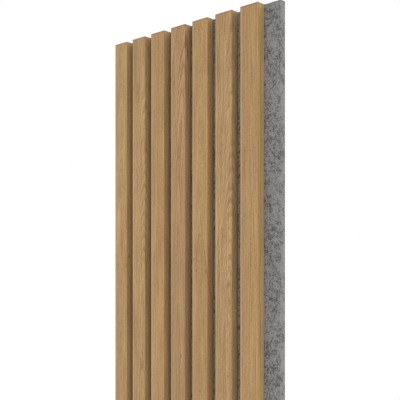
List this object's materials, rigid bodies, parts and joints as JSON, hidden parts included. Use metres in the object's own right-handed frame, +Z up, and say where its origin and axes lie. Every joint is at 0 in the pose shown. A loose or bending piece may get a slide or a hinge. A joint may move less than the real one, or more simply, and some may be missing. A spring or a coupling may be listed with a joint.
{
  "type": "acoustic slat wall panel",
  "caption": "Upright wall panel of evenly spaced oak-veneered slats on a grey felt backing that damps sound, with a bare felt strip along one edge for the next panel to lap.",
  "frame": {"origin": "centre of the felt's back face, on the wall plane", "axes": "+Z up along the slats, +Y into the wall, +X to the right as seen from the room; the slat fronts face -Y"},
  "size_m": [0.29, 0.021, 2.4],
  "materials": {
    "oak_veneer": "natural oak veneer, matt clear lacquer, fine grain along the slat",
    "core_board": "raw brown fibreboard, sawn",
    "felt": "pressed grey fibre felt, mottled light and dark",
    "staple_wire": "zinc-coated flat steel wire"
  },
  "bodies": {
    "root": {"felt_backing": "felt", "slat_core_1": "core_board", "slat_core_2": "core_board", "slat_core_3": "core_board", "slat_core_4": "core_board", "slat_core_5": "core_board", "slat_core_6": "core_board", "slat_core_7": "core_board", "slat_veneer_1": "oak_veneer", "slat_veneer_2": "oak_veneer", "slat_veneer_3": "oak_veneer", "slat_veneer_4": "oak_veneer", "slat_veneer_5": "oak_veneer", "slat_veneer_6": "oak_veneer", "slat_veneer_7": "oak_veneer", "staples": "staple_wire"}
  },
  "joints": []
}
